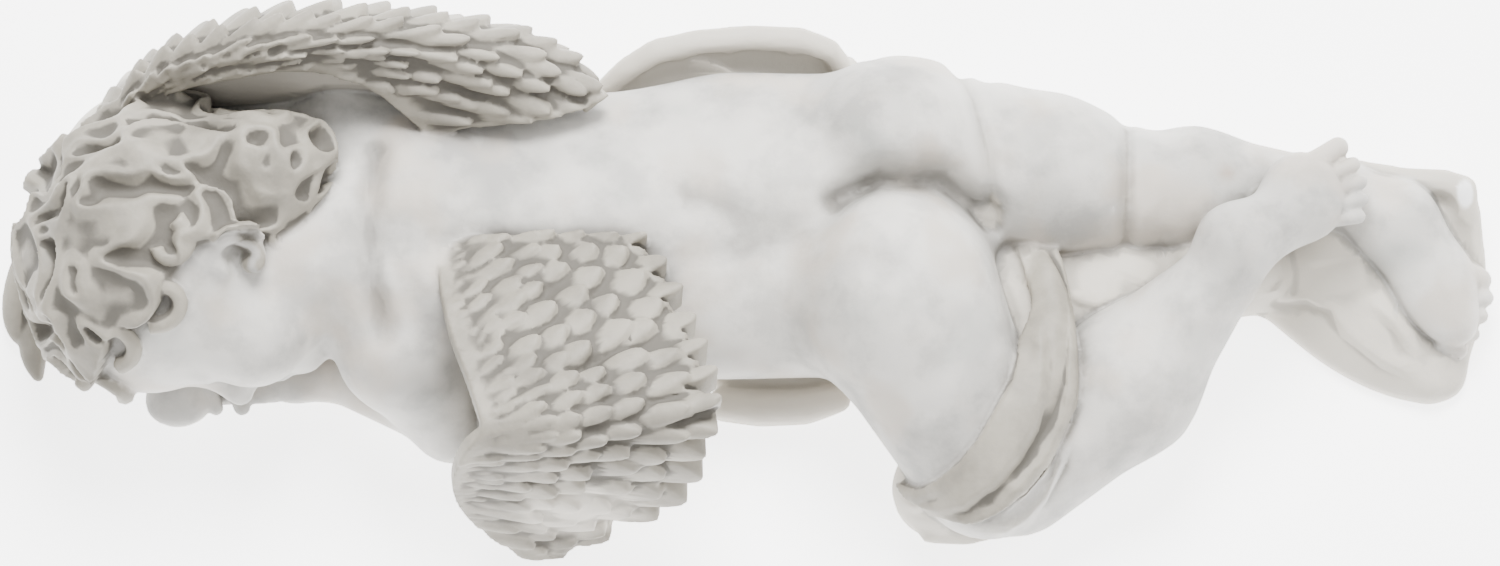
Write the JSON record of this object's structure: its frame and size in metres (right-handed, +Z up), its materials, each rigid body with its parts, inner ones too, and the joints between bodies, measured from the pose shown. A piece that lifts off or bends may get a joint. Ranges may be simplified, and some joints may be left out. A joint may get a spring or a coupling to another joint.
{
  "type": "sleeping angel statue",
  "caption": "Winged baby asleep on its front, head turned to one side, one knee drawn up under a fold of cloth, cast in one piece with a flat underside.",
  "frame": {"origin": "centre of the bounding box in plan, on the flat underside", "axes": "+X from the crown to the feet, +Y away from the side that the face turns to, +Z up from the underside"},
  "size_m": [0.3828, 0.1402, 0.0792],
  "materials": {
    "cast_stone": "pale grey-white stone resin, matt, with a thin grey wash left in the hollows of hair, feathers and cloth"
  },
  "bodies": {
    "root": {"sleeping_angel": "cast_stone"}
  },
  "joints": []
}
